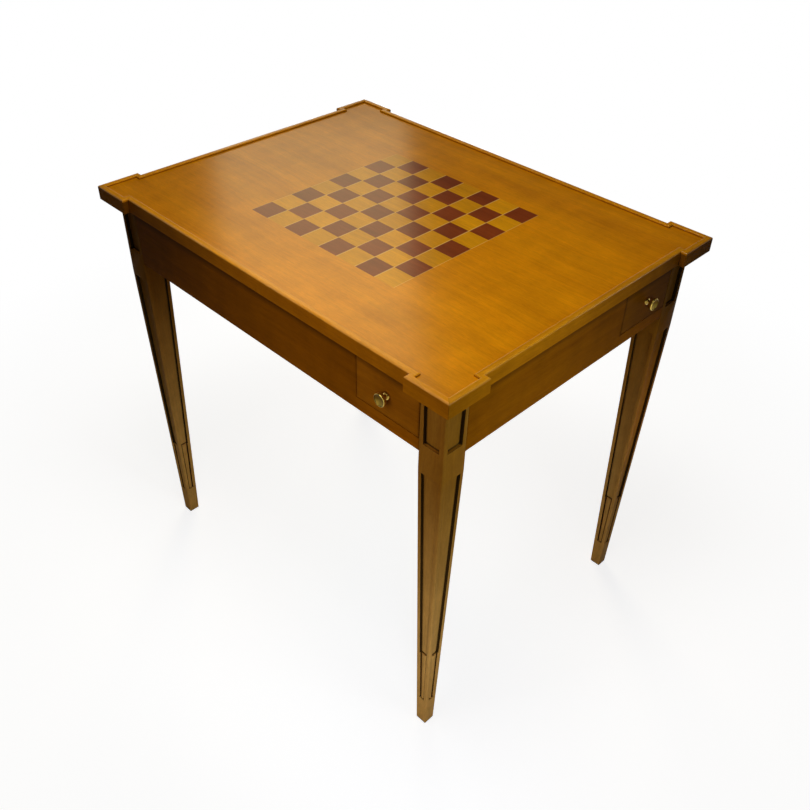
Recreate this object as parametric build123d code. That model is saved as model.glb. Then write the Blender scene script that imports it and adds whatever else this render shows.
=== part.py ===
"""Games table: a stepped top with a raised lip and an inlaid board, four tapered
fluted legs, and one small drawer at the right-hand end of every side.

Millimetres, +Z up. X runs along the long sides and Y along the short ones. The origin
lies on the floor under the middle of the table. Every side is drawn facing -Y, with its
outer face at y = 0 and its middle at x = 0, and is then turned into its place.
"""
import os
from math import sqrt
from build123d import *

os.makedirs("parts", exist_ok=True)

quarter_turn = 90.0

# Whole table
table_length = 790.0
table_width = 600.0
table_height = 747.0
sides = ("front", "right", "back", "left")
leg_names = ("leg_front_right", "leg_back_right", "leg_back_left", "leg_front_left")

# Top: a field panel inside a solid edging whose corners step outwards
top_thickness = 25.0
edging_width = 10.0
lip_height = 3.5
lip_outer_round = 3.0
lip_inner_round = 2.0
edging_underside_round = 1.0
corner_length = 76.0
corner_projection = 10.0
frame_overhang = 12.5

# Inlaid board
squares_per_side = 8
board_square = 40.5
inlay_thickness = 1.5
inlay_joint = 0.1

# Legs
leg_square = 44.0
foot_square = 20.5
foot_outer_inset = 10.0
block_below_apron = 31.0
leg_edge_round = 1.0
panel_margin = 9.0
panel_depth = 5.5
panel_bottom_margin = 16.0
panel_top_margin = 12.0
flute_margin = 6.5
flute_depth = 5.0
flute_top_margin = 5.0
flute_foot_height = 64.0
cable_height = 123.0
cable_rise = 3.2
cable_quirk = 0.8

# Aprons
apron_height = 104.0
apron_thickness = 20.0
apron_edge_round = 1.0
tenon_length = 24.0
tenon_thickness = 8.0
tenon_setback = 8.0
tenon_shoulder = 12.0
strip_tenon_shoulder = 4.0
glue_gap = 0.1

# Drawers
drawer_opening_width = 120.0
drawer_strip_height = 21.0
drawer_back_clearance = 27.5
drawer_side_gap = 0.8
drawer_top_gap = 1.2
drawer_run_gap = 0.3
front_thickness = 18.0
front_edge_round = 0.6
box_side_thickness = 8.0
box_side_drop = 4.0
back_thickness = 8.0
back_drop = 10.0
back_inset = 6.0
back_housing = 3.0
bottom_thickness = 4.0
bottom_lift = 6.0
bottom_groove = 3.0
bottom_gap = 0.1
dovetails = 3
dovetail_lap = 5.0
dovetail_wide_share = 0.64
dovetail_neck_share = 0.46

# Drawer runners, guides and stops
bearer_width = 14.0
bearer_height = 12.0
guide_thickness = 8.0
runner_overrun = 4.0
stop_width = 40.0
stop_depth = 12.0
stop_height = 20.0
stop_gap = 0.3

# Knobs, turned about their own axis
knob_below_middle = 5.0
knob_base_radius = 5.4
knob_base_thickness = 1.8
knob_bead_radius = 4.4
knob_bead_thickness = 1.6
knob_neck_radius = 3.1
knob_neck_length = 4.2
knob_head_radius = 10.0
knob_head_depth = 7.6
knob_rim_thickness = 2.4
knob_dish_depth = 2.4
bowl_out_share = 0.72
bowl_up_share = 0.36
knob_hole_depth = 9.0
knob_screw_radius = 1.5
knob_screw_head_radius = 3.2
knob_screw_head_height = 2.2
screw_hole_gap = 0.05
knob_screw_end_gap = 0.5

# Wooden buttons that hold the top down, and their screws
button_width = 30.0
button_length = 34.0
button_thickness = 16.0
button_tongue = 7.0
button_tongue_thickness = 6.0
button_slot_gap = 0.3
button_slot_extra = 4.0
long_side_buttons = 2
short_side_buttons = 1
wood_screw_radius = 2.0
wood_screw_head_radius = 4.0
wood_screw_head_height = 2.4
wood_screw_bite = 11.0
wood_screw_point = 3.0

# One overrun serves every cut that leaves a face
overrun = 5.0

# Heights and places that follow from the sizes above
half_length = table_length / 2
half_width = table_width / 2
underside = table_height - top_thickness
field_height = table_height - lip_height
frame_half_length = half_length - corner_projection - frame_overhang
frame_half_width = half_width - corner_projection - frame_overhang
apron_bottom = underside - apron_height
taper_start = apron_bottom - block_below_apron
drawer_floor = apron_bottom + drawer_strip_height
drawer_depth = frame_half_width - drawer_back_clearance
board_side = squares_per_side * board_square
drawer_half = drawer_opening_width / 2 - drawer_side_gap
front_bottom = drawer_floor + drawer_side_gap
front_top = underside - drawer_top_gap
box_bottom = drawer_floor + drawer_run_gap
box_top = underside - box_side_drop
box_inner_half = drawer_half - box_side_thickness
runner_end = drawer_depth + runner_overrun
knob_height = (front_bottom + front_top) / 2 - knob_below_middle


def span_box(x_low, x_high, y_low, y_high, z_low, z_high):
    """A box between two opposite corners."""
    size = (x_high - x_low, y_high - y_low, z_high - z_low)
    centre = ((x_low + x_high) / 2, (y_low + y_high) / 2, (z_low + z_high) / 2)
    return Pos(*centre) * Box(*size)


def is_long(turn):
    """True for the front and back, which run along X."""
    return turn % 2 == 0


def half_run(turn):
    """Half the length of a side between the outer faces of its legs."""
    return frame_half_length if is_long(turn) else frame_half_width


def side_place(turn):
    """Where a side drawn facing -Y belongs; each turn is a quarter round the table."""
    reach = frame_half_width if is_long(turn) else frame_half_length
    return Rot(0, 0, quarter_turn * turn) * Pos(0, -reach, 0)


def drawer_middle(turn):
    """Middle of a side's drawer opening, which ends against the right-hand leg."""
    return half_run(turn) - leg_square - drawer_opening_width / 2


def group(solids):
    """Several separate solids kept together as one sub-part."""
    return Compound(children=list(solids))


# Top

def stepped_outline(inset):
    """The top's outline moved inwards: a rectangle whose corners step out."""
    x_out = half_length - inset
    y_out = half_width - inset
    x_in = x_out - corner_projection
    y_in = y_out - corner_projection
    x_step = half_length - corner_length + inset
    y_step = half_width - corner_length + inset
    quarter = [(x_out, y_step), (x_out, y_out), (x_step, y_out), (x_step, y_in)]
    lower = [(x_step, -y_in), (x_step, -y_out), (x_out, -y_out), (x_out, -y_step)]
    right = lower + [(x_in, -y_step), (x_in, y_step)] + quarter
    left = [(-x, -y) for x, y in right]
    return make_face(Polyline(*right, *left, close=True))


def edging_ring():
    """The whole edging in one piece, with its rounded lip, before it is cut up."""
    outer = extrude(Pos(0, 0, underside) * stepped_outline(0), top_thickness)
    inner = extrude(Pos(0, 0, underside - overrun) * stepped_outline(edging_width),
                    top_thickness + 2 * overrun)
    outer = fillet(outer.faces().sort_by(Axis.Z)[-1].edges(), lip_outer_round)
    outer = chamfer(outer.faces().sort_by(Axis.Z)[0].edges(), edging_underside_round)
    ring = outer - inner
    crest = ring.faces().sort_by(Axis.Z)[-1]
    inner_edges = crest.inner_wires()[0].edges()
    return fillet(inner_edges, lip_inner_round)


def edging_pieces():
    """Four straight strips and four stepped corners, butted at the steps."""
    ring = edging_ring()
    x_cut = half_length - corner_length
    y_cut = half_width - corner_length
    low = underside - overrun
    high = table_height + overrun
    pieces = {}
    for turn, side in enumerate(sides):
        cut, reach = (x_cut, half_width) if is_long(turn) else (y_cut, half_length)
        strip = span_box(-cut, cut, -reach - overrun, -reach + 2 * corner_length, low, high)
        place = Rot(0, 0, quarter_turn * turn)
        pieces["edging_" + side] = ring & (place * strip)
    signs = ((1, -1), (1, 1), (-1, 1), (-1, -1))
    for name, (sx, sy) in zip(leg_names, signs):
        middle = Pos(sx * (half_length + x_cut + overrun) / 2,
                     sy * (half_width + y_cut + overrun) / 2, (low + high) / 2)
        block = middle * Box(half_length - x_cut + overrun, half_width - y_cut + overrun,
                             high - low)
        pieces[name.replace("leg_", "edging_corner_")] = ring & block
    return pieces


def button_run(turn):
    """The stretch of an apron that the two nearest drawers leave free."""
    low = runner_end - half_run(turn)
    high = half_run(turn) - leg_square - drawer_opening_width - guide_thickness
    return low, high


def button_places():
    """The turn of each button's side and the button's middle along it."""
    for turn in range(len(sides)):
        low, high = button_run(turn)
        count = long_side_buttons if is_long(turn) else short_side_buttons
        for number in range(count):
            yield turn, low + (high - low) * (number + 1 / 2) / count


def wood_screw_shape(gap=0.0):
    """A countersunk screw pointing up, its head's face at z = 0."""
    shank = wood_screw_radius + gap
    head = wood_screw_head_radius + gap
    length = button_thickness + wood_screw_bite
    outline = [(0, 0), (head, 0), (shank, wood_screw_head_height),
               (shank, length - wood_screw_point), (0, length + gap)]
    profile = make_face(Polyline(*outline, close=True))
    return revolve(Plane.XZ * profile, Axis.Z)


def screw_place(turn, along):
    """A button's screw stands midway along the button's free length."""
    inward = apron_thickness + button_length / 2
    return side_place(turn) * Pos(along, inward, underside - button_thickness)


def top_panel():
    """The field inside the edging, with a shallow recess for the board."""
    panel = extrude(Pos(0, 0, underside) * stepped_outline(edging_width),
                    field_height - underside)
    half = board_side / 2
    panel -= span_box(-half, half, -half, half, field_height - inlay_thickness,
                      field_height + overrun)
    for turn, along in button_places():
        panel -= screw_place(turn, along) * wood_screw_shape(screw_hole_gap)
    return panel


def board_squares(dark):
    """The veneer squares of one colour; a dark one lies at the front left corner."""
    side = board_square - inlay_joint
    tile = Box(side, side, inlay_thickness)
    height = field_height - inlay_thickness / 2
    first = -board_side / 2 + board_square / 2
    tiles = []
    for column in range(squares_per_side):
        for row in range(squares_per_side):
            if ((column + row) % 2 == 0) == dark:
                place = Pos(first + column * board_square, first + row * board_square, height)
                tiles.append(place * tile)
    return group(tiles)


def top_buttons():
    """Wooden buttons with a tongue in the apron's slot, screwed to the underside."""
    buttons = []
    low = underside - button_thickness
    for turn, along in button_places():
        half = button_width / 2
        inner = apron_thickness
        body = span_box(along - half, along + half, inner, inner + button_length, low, underside)
        tongue = span_box(along - half, along + half, inner - button_tongue, inner,
                          low, low + button_tongue_thickness)
        button = side_place(turn) * (body + tongue)
        button -= screw_place(turn, along) * wood_screw_shape(screw_hole_gap)
        buttons.append(button)
    return group(buttons)


def button_screws():
    """One countersunk wood screw through each button."""
    return group(screw_place(turn, along) * wood_screw_shape() for turn, along in button_places())


# Legs

def leg_section(height):
    """Low and high x and y of the leg's square at a height, from its outer corner."""
    share = max(0, (taper_start - height) / taper_start)
    inset = foot_outer_inset * share
    width = leg_square + (foot_square - leg_square) * share
    return -inset - width, -inset, inset, inset + width


def section_face(height, rounding):
    """The leg's rounded square at a height."""
    x_low, x_high, y_low, y_high = leg_section(height)
    middle = Pos((x_low + x_high) / 2, (y_low + y_high) / 2, height)
    return middle * RectangleRounded(x_high - x_low, y_high - y_low, rounding)


def leg_blank():
    """The leg before carving: a square block above, a straight taper below."""
    block = span_box(-leg_square, 0, 0, leg_square, apron_bottom, underside)
    corner_edge = min(block.edges().filter_by(Axis.Z),
                      key=lambda edge: abs(edge.center().X) + abs(edge.center().Y))
    block = fillet(corner_edge, leg_edge_round)
    neck = extrude(section_face(taper_start, leg_edge_round), block_below_apron)
    taper = loft([section_face(0, leg_edge_round), section_face(taper_start, leg_edge_round)])
    return block + neck + taper


def on_face(face, along_low, along_high, depth_low, depth_high, height):
    """A rectangle at a height, given along one of the leg's four faces and into it.

    Faces 0 and 1 are the outer ones, towards -Y and +X; 2 and 3 look inwards.
    """
    x_low, x_high, y_low, y_high = leg_section(height)
    if face == 0:
        box = (x_low + along_low, x_high - along_high, y_low + depth_low, y_low + depth_high)
    elif face == 1:
        box = (x_high - depth_high, x_high - depth_low, y_low + along_low, y_high - along_high)
    elif face == 2:
        box = (x_low + along_low, x_high - along_high, y_high - depth_high, y_high - depth_low)
    else:
        box = (x_low + depth_low, x_low + depth_high, y_low + along_low, y_high - along_high)
    middle = Pos((box[0] + box[1]) / 2, (box[2] + box[3]) / 2, height)
    return middle, box[1] - box[0], box[3] - box[2]


def flute(face):
    """The long sunk flute of one face, its floor parallel to the tapering face."""
    ends = []
    for height in (flute_foot_height, taper_start - flute_top_margin):
        middle, x_size, y_size = on_face(face, flute_margin, flute_margin, -overrun,
                                         flute_depth, height)
        ends.append(middle * Rectangle(x_size, y_size))
    return loft(ends)


def cable(face):
    """The rounded bead that fills the lower part of the flute."""
    ends = []
    for height in (flute_foot_height - overrun, flute_foot_height + cable_height):
        quirk = flute_margin + cable_quirk
        middle, x_size, y_size = on_face(face, quirk, quirk, flute_depth - cable_rise,
                                         flute_depth + cable_rise, height)
        ends.append(middle * Ellipse(x_size / 2, y_size / 2))
    return loft(ends)


def face_panel(face):
    """The sunk panel in the leg's square block."""
    low = apron_bottom + panel_bottom_margin
    high = underside - panel_top_margin
    middle, x_size, y_size = on_face(face, panel_margin, panel_margin, -overrun, panel_depth, low)
    return extrude(middle * Rectangle(x_size, y_size), high - low)


def mortises():
    """Cuts for the tenon under the drawer and for the next apron's full tenon."""
    inner = leg_square - tenon_length - glue_gap
    near = tenon_setback - glue_gap
    far = tenon_setback + tenon_thickness + glue_gap
    strip_low, strip_high = strip_tenon_heights()
    full_low, full_high = full_tenon_heights()
    strip_cut = span_box(-leg_square - overrun, -inner, near, far,
                         strip_low - glue_gap, strip_high + glue_gap)
    full_cut = span_box(-far, -near, inner, leg_square + overrun,
                        full_low - glue_gap, full_high + glue_gap)
    return strip_cut + full_cut


def leg():
    """One leg, drawn with its outer corner at x = 0, y = 0."""
    faces = range(len(sides))
    shape = leg_blank()
    for face in faces:
        shape -= flute(face)
    for face in faces:
        shape += cable(face) & leg_blank()
    for face in faces[:2]:
        shape -= face_panel(face)
    return shape - mortises()


# Aprons

def full_tenon_heights():
    """Low and high ends of the tenon at an apron's plain end."""
    return apron_bottom + tenon_shoulder, underside - tenon_shoulder


def strip_tenon_heights():
    """Low and high ends of the tenon on the strip under the drawer."""
    return apron_bottom + strip_tenon_shoulder, drawer_floor - strip_tenon_shoulder


def apron(turn):
    """One apron board: tenoned at both ends and cut down for its drawer."""
    reach = half_run(turn) - leg_square
    board = span_box(-reach, reach, 0, apron_thickness, apron_bottom, underside)
    low_edge = board.faces().sort_by(Axis.Y)[0].edges().sort_by(Axis.Z)[0]
    board = fillet(low_edge, apron_edge_round)
    board -= span_box(reach - drawer_opening_width, reach + overrun, -overrun,
                      apron_thickness + overrun, drawer_floor, underside + overrun)
    near = tenon_setback
    far = tenon_setback + tenon_thickness
    strip_low, strip_high = strip_tenon_heights()
    full_low, full_high = full_tenon_heights()
    board += span_box(reach, reach + tenon_length, near, far, strip_low, strip_high)
    board += span_box(-reach - tenon_length, -reach, near, far, full_low, full_high)
    slot_half = button_width / 2 + button_slot_extra
    slot_low = underside - button_thickness - button_slot_gap
    slot_high = slot_low + button_tongue_thickness + 2 * button_slot_gap
    for place, along in button_places():
        if place == turn:
            board -= span_box(along - slot_half, along + slot_half,
                              apron_thickness - button_tongue - button_slot_gap,
                              apron_thickness + overrun, slot_low, slot_high)
    return board


# Drawers, drawn with the middle of their opening at x = 0

def dovetail_outlines():
    """The tails of a drawer side as (y, z) corners, narrow at the root."""
    pitch = (box_top - box_bottom) / dovetails
    wide = pitch * dovetail_wide_share
    neck = pitch * dovetail_neck_share
    for count in range(dovetails):
        middle = box_bottom + pitch / 2 + pitch * count
        yield [(front_thickness, middle - neck / 2), (dovetail_lap, middle - wide / 2),
               (dovetail_lap, middle + wide / 2), (front_thickness, middle + neck / 2)]


def dovetail_solids(hand):
    """The tails at one end of the drawer front; hand is -1 or 1."""
    start = box_inner_half if hand > 0 else -drawer_half
    tails = []
    for outline in dovetail_outlines():
        face = make_face(Polyline(*[(start, y, z) for y, z in outline], close=True))
        tails.append(extrude(face, box_side_thickness, dir=(1, 0, 0)))
    return tails


def drawer_front():
    """The drawer front with its sockets, its groove and the knob's screw hole."""
    shape = span_box(-drawer_half, drawer_half, 0, front_thickness, front_bottom, front_top)
    shape = fillet(shape.faces().sort_by(Axis.Y)[0].edges(), front_edge_round)
    for hand in (-1, 1):
        for tail in dovetail_solids(hand):
            shape -= tail
    groove_low = box_bottom + bottom_lift
    shape -= span_box(-box_inner_half, box_inner_half, front_thickness - bottom_groove,
                      front_thickness + overrun, groove_low, groove_low + bottom_thickness)
    hole = Cylinder(knob_screw_radius + screw_hole_gap, 2 * (front_thickness + overrun))
    return shape - Pos(0, 0, knob_height) * Rot(quarter_turn, 0, 0) * hole


def drawer_sides():
    """Two sides, dovetailed to the front, grooved for the bottom and housed for the back."""
    boards = []
    for hand in (-1, 1):
        inner, outer = sorted((hand * box_inner_half, hand * drawer_half))
        board = span_box(inner, outer, front_thickness, drawer_depth, box_bottom, box_top)
        for tail in dovetail_solids(hand):
            board += tail
        groove = sorted((hand * (box_inner_half - overrun), hand * (box_inner_half + bottom_groove)))
        low = box_bottom + bottom_lift
        board -= span_box(*groove, front_thickness, drawer_depth + overrun, low,
                          low + bottom_thickness)
        housing = sorted((hand * (box_inner_half - overrun), hand * (box_inner_half + back_housing)))
        rear = drawer_depth - back_inset
        board -= span_box(*housing, rear - back_thickness, rear, low, box_top + overrun)
        boards.append(board)
    return boards


def drawer_back():
    """The back, housed in the sides and standing on the bottom."""
    reach = box_inner_half + back_housing
    rear = drawer_depth - back_inset
    low = box_bottom + bottom_lift + bottom_thickness
    return span_box(-reach, reach, rear - back_thickness, rear, low, underside - back_drop)


def drawer_bottom():
    """The thin bottom, slid into its grooves under the back."""
    low = box_bottom + bottom_lift
    reach = box_inner_half + bottom_groove - bottom_gap
    panel = span_box(-reach, reach, front_thickness, drawer_depth, low, low + bottom_thickness)
    tongue = box_inner_half - bottom_gap
    panel += span_box(-tongue, tongue, front_thickness - bottom_groove + bottom_gap,
                      front_thickness, low, low + bottom_thickness)
    return panel


def knob():
    """A turned knob: a stepped base, a short neck and a dished round head."""
    neck_start = knob_base_thickness + knob_bead_thickness
    head_start = neck_start + knob_neck_length
    front = head_start + knob_head_depth
    rim_back = front - knob_rim_thickness
    hole = knob_screw_radius + screw_hole_gap
    base_edge = Line((knob_base_radius, 0), (knob_base_radius, knob_base_thickness))
    step = Line(base_edge @ 1, (knob_bead_radius, knob_base_thickness))
    bead = Polyline(step @ 1, (knob_bead_radius + knob_bead_thickness / 4,
                               knob_base_thickness + knob_bead_thickness / 2),
                    (knob_bead_radius, neck_start))
    shoulder = Line(bead @ 1, (knob_neck_radius, neck_start))
    neck = Line(shoulder @ 1, (knob_neck_radius, head_start))
    swell = knob_head_radius - knob_neck_radius
    bowl = ThreePointArc(neck @ 1, (knob_neck_radius + swell * bowl_out_share,
                                    head_start + (rim_back - head_start) * bowl_up_share),
                         (knob_head_radius, rim_back))
    dish_radius = knob_head_radius - knob_rim_thickness / 2
    rim = Polyline(bowl @ 1, (knob_head_radius - knob_rim_thickness / 8,
                              (rim_back + front) / 2), (dish_radius, front))
    sphere = (dish_radius ** 2 + knob_dish_depth ** 2) / (2 * knob_dish_depth)
    half_out = dish_radius / 2
    half_up = front - knob_dish_depth + sphere - sqrt(sphere ** 2 - half_out ** 2)
    dish = ThreePointArc(rim @ 1, (half_out, half_up), (0, front - knob_dish_depth))
    down = Line(dish @ 1, (0, knob_hole_depth))
    hole_end = Line(down @ 1, (hole, knob_hole_depth))
    hole_wall = Line(hole_end @ 1, (hole, 0))
    back = Line(hole_wall @ 1, (knob_base_radius, 0))
    profile = make_face([base_edge, step, bead, shoulder, neck, bowl, rim, dish, down,
                         hole_end, hole_wall, back])
    turned = revolve(Plane.XZ * profile, Axis.Z)
    return Pos(0, 0, knob_height) * Rot(quarter_turn, 0, 0) * turned


def knob_screw():
    """The machine screw that holds the knob from inside the drawer."""
    reach = front_thickness + knob_hole_depth - knob_screw_end_gap
    shank = Pos(0, 0, reach / 2) * Cylinder(knob_screw_radius, reach)
    head = Pos(0, 0, -knob_screw_head_height / 2) * Cylinder(knob_screw_head_radius,
                                                            knob_screw_head_height)
    head = chamfer(head.faces().sort_by(Axis.Z)[0].edges(), knob_screw_head_height / 3)
    turn = Pos(0, front_thickness, knob_height) * Rot(quarter_turn, 0, 0)
    return turn * (shank + head)


def drawer_runners():
    """Bearers under the drawer's sides and guides beside them, hung from the top."""
    edge = drawer_opening_width / 2
    low = drawer_floor - bearer_height
    bars = []
    for hand, guide_start in ((-1, apron_thickness), (1, leg_square)):
        bearer = sorted((hand * (edge - bearer_width), hand * edge))
        guide = sorted((hand * edge, hand * (edge + guide_thickness)))
        bars.append(span_box(*bearer, apron_thickness, runner_end, low, drawer_floor))
        bars.append(span_box(*guide, guide_start, runner_end, low, underside))
    return bars


def drawer_stop():
    """The block under the top that the drawer's back meets."""
    start = drawer_depth - back_inset + stop_gap
    return span_box(-stop_width / 2, stop_width / 2, start, start + stop_depth,
                    underside - stop_height, underside)


parts = {"top_panel": top_panel(), "board_dark_squares": board_squares(True),
         "board_light_squares": board_squares(False), "top_buttons": top_buttons(),
         "button_screws": button_screws()}
parts.update(edging_pieces())
one_leg = leg()
box_sides = drawer_sides()
drawer_pieces = {"front": drawer_front(), "back": drawer_back(), "bottom": drawer_bottom(),
                 "knob": knob(), "knob_screw": knob_screw()}
runner_bars = drawer_runners()
stops = []
for turn, side in enumerate(sides):
    place = side_place(turn)
    parts[leg_names[turn]] = place * Pos(half_run(turn), 0, 0) * one_leg
    parts["apron_" + side] = place * apron(turn)
    drawer_place = place * Pos(drawer_middle(turn), 0, 0)
    parts["drawer_runners_" + side] = group(drawer_place * bar for bar in runner_bars)
    parts[side + "_drawer_sides"] = group(drawer_place * board for board in box_sides)
    stops.append(drawer_place * drawer_stop())
    for piece, shape in drawer_pieces.items():
        parts[side + "_drawer_" + piece] = drawer_place * shape
parts["drawer_stops"] = group(stops)

for name, shape in parts.items():
    export_step(shape, "parts/" + name + ".step")
print(len(parts), "sub-parts")
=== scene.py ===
"""Games table: the finishes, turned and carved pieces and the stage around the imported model.

Metres, +Z up, the table standing on the floor with its middle over the origin. X runs
along the long sides and the near corner of the photograph is at +X, -Y.
"""
from math import cos, radians, sin, sqrt

import bmesh
import bpy
from bpy.props import FloatProperty, FloatVectorProperty, PointerProperty
from mathutils import Matrix, Vector


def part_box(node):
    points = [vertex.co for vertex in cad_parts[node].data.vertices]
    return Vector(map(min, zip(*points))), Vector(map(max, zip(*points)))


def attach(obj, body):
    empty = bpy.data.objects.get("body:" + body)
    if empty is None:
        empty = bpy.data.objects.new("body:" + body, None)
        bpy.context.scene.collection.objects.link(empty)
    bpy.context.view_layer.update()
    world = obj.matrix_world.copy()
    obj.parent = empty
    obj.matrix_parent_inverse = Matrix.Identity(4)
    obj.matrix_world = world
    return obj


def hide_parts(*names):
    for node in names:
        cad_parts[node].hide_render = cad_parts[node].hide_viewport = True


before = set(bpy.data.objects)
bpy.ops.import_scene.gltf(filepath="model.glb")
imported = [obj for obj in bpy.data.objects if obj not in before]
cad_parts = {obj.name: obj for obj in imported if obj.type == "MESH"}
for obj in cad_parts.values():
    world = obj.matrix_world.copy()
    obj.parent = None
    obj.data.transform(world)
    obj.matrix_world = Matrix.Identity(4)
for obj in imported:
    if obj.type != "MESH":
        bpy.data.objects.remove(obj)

bl_info = {
    "name": "Games Table",
    "version": (1, 0, 0),
    "blender": (4, 5, 0),
    "location": "View3D > Sidebar > Games Table",
    "description": "Finishes, legs, knobs and stage of a games table with an inlaid board",
    "category": "Add Mesh",
}

MILLIMETRE = 0.001
SIDES = ("front", "right", "back", "left")
LEGS = ("leg_front_right", "leg_back_right", "leg_back_left", "leg_front_left")


def tint(red, green, blue):
    """A colour as a painter mixes it, 0 to 255, turned into linear light."""
    return tuple(((share + 0.055) / 1.055) ** 2.4 if share > 0.04045 else share / 12.92
                 for share in (red / 255, green / 255, blue / 255))


def colour(name, description, red, green, blue):
    """A colour property with its default mixed by tint."""
    return FloatVectorProperty(name=name, description=description, subtype="COLOR",
                               size=3, min=0, max=1, default=tint(red, green, blue))


def length(name, description, millimetres):
    """A length property, its default given in millimetres."""
    return FloatProperty(name=name, description=description, unit="LENGTH",
                         default=millimetres * MILLIMETRE)


def factor(name, description, share):
    """A share between nothing and all."""
    return FloatProperty(name=name, description=description, subtype="FACTOR",
                         min=0, max=1, default=share)


def watts(name, description, power):
    """A lamp's power."""
    return FloatProperty(name=name, description=description, unit="POWER", default=power)


class TopFinish(bpy.types.PropertyGroup):
    """Colours and polish of the table top."""
    field_pale: colour("Field, pale", "Pale wood of the field", 211, 134, 4)
    field_dark: colour("Field, dark", "Dark streaks of the field", 188, 113, 2)
    # The rim's colours are painted paler than the field's: a painted sheen on the rim's rounded
    # top.
    rim_sheen_pale: colour("Rim, pale", "Pale wood of the raised rim", 222, 147, 14)
    rim_sheen_dark: colour("Rim, dark", "Dark streaks of the raised rim", 198, 124, 9)
    edging_pale: colour("Edging, pale", "Pale wood of the edging", 190, 114, 10)
    edging_dark: colour("Edging, dark", "Dark streaks of the edging", 163, 91, 6)
    # A painted highlight along the rim's outer edge.
    arris_highlight: colour("Worn edge", "Where the rim's outer edge is rubbed pale", 232, 180, 120)
    # Colour of the mitres and the end faces, and of the painted shade in the corner inside the
    # rim.
    dark_grain_and_shade: colour("Dust", "What has settled in the corner inside the rim", 74, 42, 10)
    dark_square_pale: colour("Dark squares, pale", "Lighter streaks of the dark squares",
                             132, 58, 16)
    dark_square_dark: colour("Dark squares, dark", "Darker streaks of the dark squares",
                             108, 43, 9)
    light_square_pale: colour("Light squares, pale", "Pale streaks of the light squares",
                              209, 142, 6)
    light_square_dark: colour("Light squares, dark", "Dark streaks of the light squares",
                              189, 124, 4)
    seam: colour("Seam", "The thin line between the rows of squares", 240, 192, 104)
    pitch: length("Square", "Width of a square of the board", 40.5)
    polish: factor("Polish", "Strength of the polished coat on the top", 0.7)


class FrameFinish(bpy.types.PropertyGroup):
    """Colours of the aprons, the drawers and the unseen inner pieces."""
    apron_pale: colour("Apron, pale", "Pale wood of the aprons", 158, 89, 4)
    apron_dark: colour("Apron, dark", "Dark streaks of the aprons", 132, 70, 2)
    front_pale: colour("Drawer front, pale", "Pale wood of the drawer fronts", 176, 103, 14)
    front_dark: colour("Drawer front, dark", "Dark streaks of the drawer fronts", 149, 83, 9)
    # The drawer tones make lit and shaded copies of one wood: painted light and shade for each
    # side.
    front_tone: factor("Front tone", "Tone of the front drawer against its wood", 1.0)
    right_tone: factor("Right tone", "Tone of the right-hand drawer against its wood", 0.76)
    back_tone: factor("Back tone", "Tone of the back drawer against its wood", 0.9)
    left_tone: factor("Left tone", "Tone of the left-hand drawer against its wood", 0.8)
    # Colour of the painted shadow under the edging and of the painted shade round the drawers'
    # joints.
    shade_and_joint: colour("Grime", "What has settled under the edging", 44, 22, 6)
    inside_pale: colour("Inside, pale", "Pale wood inside and underneath", 206, 174, 128)
    inside_dark: colour("Inside, dark", "Dark streaks of the inside wood", 176, 140, 92)


class LegSettings(bpy.types.PropertyGroup):
    """Carving and colours of the legs."""
    taper_start: length("Taper start", "Height at which the taper begins", 587)
    foot_width: length("Foot width", "Width of the leg at the floor", 20.5)
    foot_inset: length("Foot inset", "How far the outer faces lean in at the floor", 10)
    flute_margin: length("Flute margin", "Plain wood on each side of a flute", 6.5)
    flute_depth: length("Flute depth", "Depth of a flute", 5)
    flute_foot: length("Flute foot", "Height of a flute's lower end", 64)
    flute_top: length("Flute top", "Height of a flute's upper end", 582)
    cable_top: length("Cable top", "Height up to which a bead fills the flute", 187)
    cable_rise: length("Cable rise", "How far the bead stands up in its flute", 3.2)
    cable_quirk: length("Cable quirk", "Gap on each side of the bead", 0.8)
    panel_margin: length("Panel margin", "Plain wood on each side of a panel", 9)
    panel_depth: length("Panel depth", "Depth of a panel", 5.5)
    panel_foot: length("Panel foot", "Height of a panel's lower end", 634)
    panel_top: length("Panel top", "Height of a panel's upper end", 710)
    arris_round: length("Arris", "Rounding of the leg's long edges", 1)
    mouth_round: length("Mouth", "Rounding of the edges of a recess", 0.5)
    pale: colour("Pale", "Pale wood of the legs' tops", 171, 112, 35)
    dark: colour("Dark", "Dark streaks of the legs' tops", 149, 91, 23)
    # The feet's colours are painted paler than the tops: painted light towards the floor.
    lit_foot_pale: colour("Foot, pale", "Pale wood of the feet", 230, 170, 86)
    lit_foot_dark: colour("Foot, dark", "Dark streaks of the feet", 206, 145, 66)
    # Dark colour of the recess walls, also used for the legs' painted shade under the edging
    # and in the carving's corners.
    dark_walls_and_shade: colour("Stain", "Dark stain in the recesses", 66, 46, 18)


class MetalSettings(bpy.types.PropertyGroup):
    """Turning of the knobs and colours of the metal pieces."""
    base_radius: length("Base", "Radius of a knob's base", 5.4)
    base_thickness: length("Base thickness", "Thickness of a knob's base", 1.8)
    neck_radius: length("Neck", "Radius of a knob's neck", 3.1)
    head_radius: length("Head", "Radius of a knob's head", 10)
    rim_thickness: length("Rim", "Thickness of a knob's rim", 2.4)
    dish_depth: length("Dish", "Depth of the hollow in a knob's head", 4.5)
    brass: colour("Brass", "Polished parts of the knobs", 228, 194, 92)
    tarnish: colour("Tarnish", "Tarnished parts of the knobs", 150, 116, 46)
    # The hollow's colour is painted darker than the brass: a painted dark reflection.
    hollow: colour("Hollow", "The dull hollow in a knob's head", 150, 128, 56)
    # Painted shade on the upper part of the hollow.
    shade: colour("Shade", "The upper part of the hollow", 84, 60, 14)
    steel: colour("Steel", "The screws", 150, 150, 154)


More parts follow.
